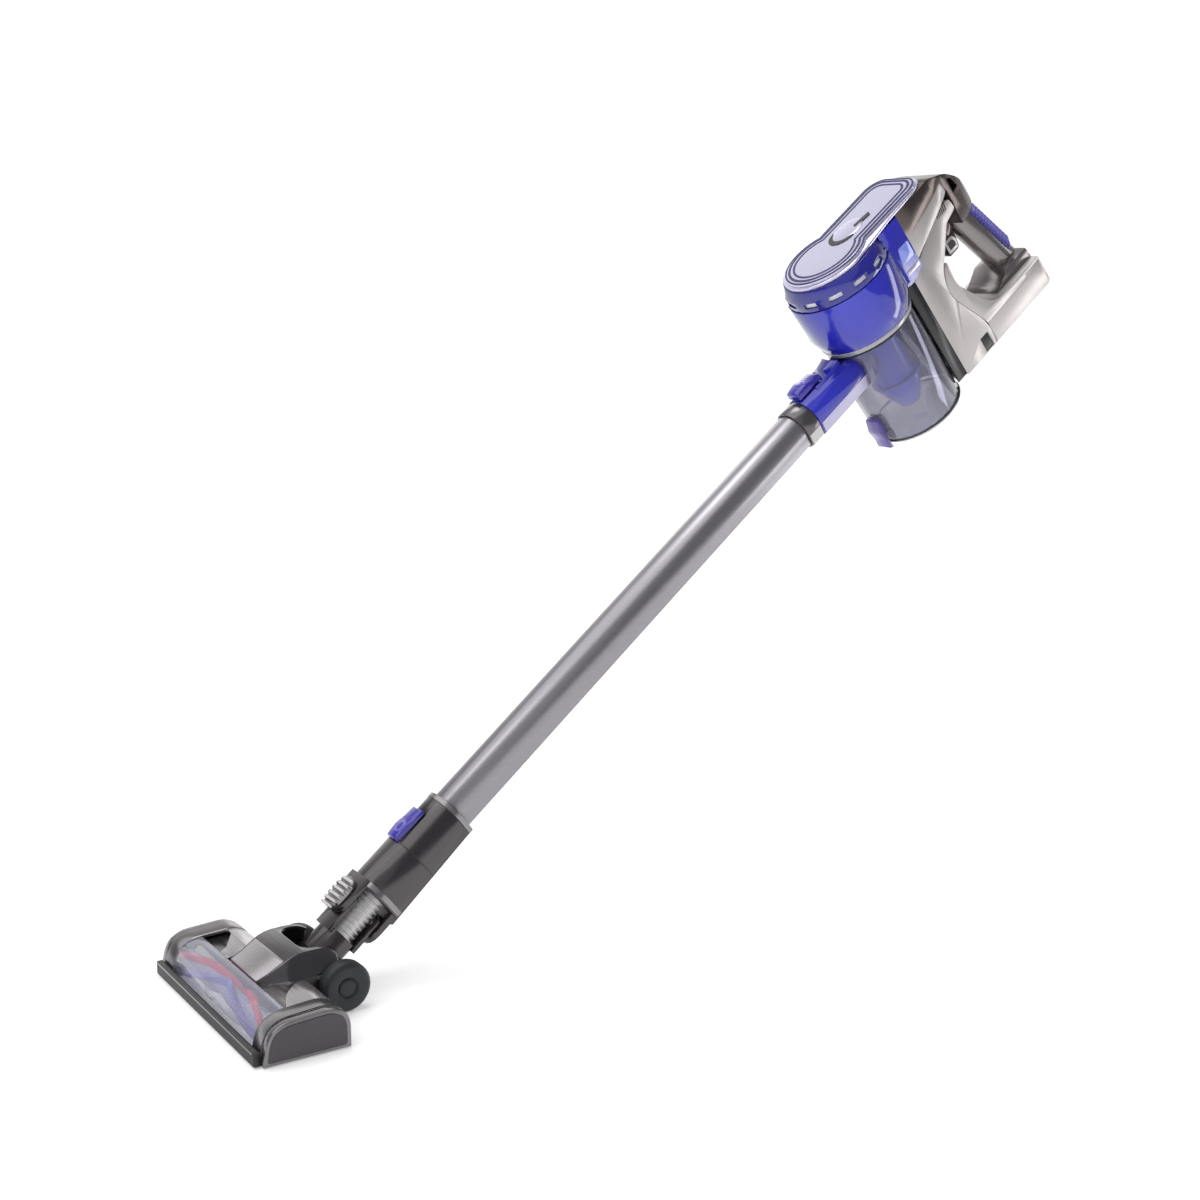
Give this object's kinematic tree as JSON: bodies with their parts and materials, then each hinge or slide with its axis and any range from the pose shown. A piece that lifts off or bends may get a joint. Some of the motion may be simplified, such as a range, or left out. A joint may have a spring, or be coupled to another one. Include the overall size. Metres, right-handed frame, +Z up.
{
  "type": "upright vacuum cleaner",
  "caption": "Cordless upright stick vacuum cleaner with a powered floor head, straight wand, clear dust cup, motor housing, looped handle and plug-in battery.",
  "frame": {"origin": "on the floor under the middle of the floor head, on its sole", "axes": "+X along the brush roller to the cleaner's right end cap, +Y from the front bumper back towards the user, +Z up from the floor"},
  "size_m": [0.225, 0.895, 0.6769],
  "materials": {
    "head_dark_plastic": "satin",
    "end_cap_plastic": "satin metallic",
    "gunmetal_cover": "metallic lacquer",
    "window_clear": "clear",
    "bumper_rubber": "matt",
    "brush_core_plastic": "matt",
    "bristle_red": "bristle",
    "bristle_pale": "bristle",
    "steel": "brushed",
    "wheel_rubber": "matt",
    "connector_grey": "satin metallic",
    "cap_silver": "satin",
    "hose_grey": "satin",
    "button_blue": "gloss",
    "wand_aluminium": "satin anodised",
    "collar_grey": "satin",
    "body_blue": "translucent gloss",
    "cup_clear": "clear smoky",
    "latch_purple": "gloss",
    "cone_purple": "gloss",
    "filter_foam": "pleated",
    "lid_lilac": "pearl",
    "black_plastic": "satin",
    "motor_copper": "plain",
    "impeller_metal": "machined",
    "rear_brown": "metallic",
    "beige_shell": "champagne metallic",
    "grip_metallic": "metallic",
    "grip_rubber": "ribbed matt",
    "battery_cell_metal": "wrapped"
  },
  "bodies": {
    "handheld": {"body_shell": "body_blue", "vent_collar": "body_blue", "lid_rim": "lid_lilac", "lid_deck": "lid_lilac", "suction_motor": "motor_copper", "rear_housing": "rear_brown", "rear_band": "beige_shell", "side_panel_right": "beige_shell", "side_panel_left": "beige_shell", "base_arm": "beige_shell", "spine_strip": "black_plastic", "grip": "grip_metallic", "grip_rubber": "grip_rubber"},
    "dust_cup": {"inlet_neck": "body_blue", "cup_shell": "cup_clear", "cyclone_core": "body_blue", "dust_cone": "cone_purple", "pre_filter": "filter_foam", "cup_seal": "bumper_rubber", "door_pin": "steel"},
    "cup_door": {"cup_door": "cup_clear"},
    "cup_latch": {"cup_latch": "latch_purple"},
    "inlet_button": {"inlet_button": "button_blue"},
    "wand": {"wand_tube": "wand_aluminium", "wand_collar": "collar_grey"},
    "connector": {"connector_sleeve": "connector_grey", "contact_rail": "connector_grey", "pivot_cap_top": "cap_silver", "pivot_cap_bottom": "connector_grey"},
    "connector_button": {"connector_button": "button_blue"},
    "neck": {"neck_lower": "connector_grey", "swivel_hose": "hose_grey"},
    "floor_head": {"head_base": "head_dark_plastic", "end_cap_right": "end_cap_plastic", "end_cap_left": "end_cap_plastic", "side_cover_right": "gunmetal_cover", "side_cover_left": "gunmetal_cover", "centre_panel": "gunmetal_cover", "centre_saddle": "head_dark_plastic", "brush_window": "window_clear", "front_bumper": "bumper_rubber", "brush_bearing_right": "steel", "brush_bearing_left": "steel", "head_motor": "steel", "drive_belt": "bumper_rubber", "axle_right": "steel", "axle_left": "steel"},
    "brush": {"brush_core": "brush_core_plastic", "bristle_row_red": "bristle_red", "bristle_row_pale": "bristle_pale"},
    "head_motor_rotor": {"head_motor_pulley": "steel"},
    "wheel_right": {"wheel_right": "wheel_rubber"},
    "wheel_left": {"wheel_left": "wheel_rubber"},
    "impeller": {"impeller": "impeller_metal"},
    "mode_button": {"mode_button": "black_plastic"},
    "trigger": {"trigger": "black_plastic"},
    "battery": {"battery_case": "beige_shell", "battery_cells": "battery_cell_metal"},
    "battery_latch_right": {"battery_latch_right": "black_plastic"},
    "battery_latch_left": {"battery_latch_left": "black_plastic"}
  },
  "joints": [
    {"name": "cup_release", "type": "slide", "parent": "handheld", "child": "dust_cup", "axis": [0, 0.6381, -0.77], "range_m": [0, 0.115]},
    {"name": "cup_door_hinge", "type": "hinge", "parent": "dust_cup", "child": "cup_door", "pos_m": [0, 0.74588, 0.4828], "axis": [1, 0, 0], "range_deg": [0, 90]},
    {"name": "cup_latch_hinge", "type": "hinge", "parent": "dust_cup", "child": "cup_latch", "pos_m": [0, 0.65119, 0.44661], "axis": [1, 0, 0], "range_deg": [-12, 0], "stiffness_Nm_per_rad": 0.4},
    {"name": "inlet_button_press", "type": "slide", "parent": "dust_cup", "child": "inlet_button", "axis": [0, 0.6381, -0.77], "range_m": [0, 0.0022], "stiffness_N_per_m": 900},
    {"name": "wand_release", "type": "slide", "parent": "dust_cup", "child": "wand", "axis": [0, -0.77, -0.6381], "range_m": [0, 0.042]},
    {"name": "connector_release", "type": "slide", "parent": "wand", "child": "connector", "axis": [0, -0.77, -0.6381], "range_m": [0, 0.052]},
    {"name": "connector_button_press", "type": "slide", "parent": "connector", "child": "connector_button", "axis": [0, 0.6381, -0.77], "range_m": [0, 0.0022], "stiffness_N_per_m": 900},
    {"name": "neck_yaw", "type": "hinge", "parent": "connector", "child": "neck", "pos_m": [0, 0.09555, 0.0608], "axis": [0, -0.6381, 0.77], "range_deg": [-60, 60], "deforming": ["swivel_hose"]},
    {"name": "head_pitch", "type": "hinge", "parent": "neck", "child": "floor_head", "pos_m": [0, 0.061, 0.021], "axis": [1, 0, 0], "range_deg": [-50, 30]},
    {"name": "brush_spin", "type": "hinge", "parent": "floor_head", "child": "brush", "pos_m": [0, -0.0175, 0.0142], "axis": [1, 0, 0], "continuous": true},
    {"name": "head_motor_spin", "type": "hinge", "parent": "floor_head", "child": "head_motor_rotor", "pos_m": [0, 0.019, 0.015], "axis": [1, 0, 0], "continuous": true},
    {"name": "wheel_right_spin", "type": "hinge", "parent": "floor_head", "child": "wheel_right", "pos_m": [0.05, 0.061, 0.021], "axis": [1, 0, 0], "continuous": true},
    {"name": "wheel_left_spin", "type": "hinge", "parent": "floor_head", "child": "wheel_left", "pos_m": [-0.05, 0.061, 0.021], "axis": [1, 0, 0], "continuous": true},
    {"name": "impeller_spin", "type": "hinge", "parent": "handheld", "child": "impeller", "pos_m": [0, 0.65146, 0.52151], "axis": [0, -0.6381, 0.77], "continuous": true},
    {"name": "mode_button_press", "type": "slide", "parent": "handheld", "child": "mode_button", "axis": [0, 0.6381, -0.77], "range_m": [0, 0.001], "stiffness_N_per_m": 900},
    {"name": "trigger_pull", "type": "hinge", "parent": "handheld", "child": "trigger", "pos_m": [0, 0.73969, 0.62191], "axis": [1, 0, 0], "range_deg": [0, 10], "stiffness_Nm_per_rad": 0.3},
    {"name": "battery_slide", "type": "slide", "parent": "handheld", "child": "battery", "axis": [0, 0.77, 0.6381], "range_m": [0, 0.095]},
    {"name": "battery_latch_right_press", "type": "slide", "parent": "handheld", "child": "battery_latch_right", "axis": [-1, 0, 0], "range_m": [0, 0.0015], "stiffness_N_per_m": 900},
    {"name": "battery_latch_left_press", "type": "slide", "parent": "handheld", "child": "battery_latch_left", "axis": [1, 0, 0], "range_m": [0, 0.0015], "stiffness_N_per_m": 900}
  ],
  "couplings": [
    {"joint": "head_motor_spin", "follows": "brush_spin", "ratio": 2}
  ]
}
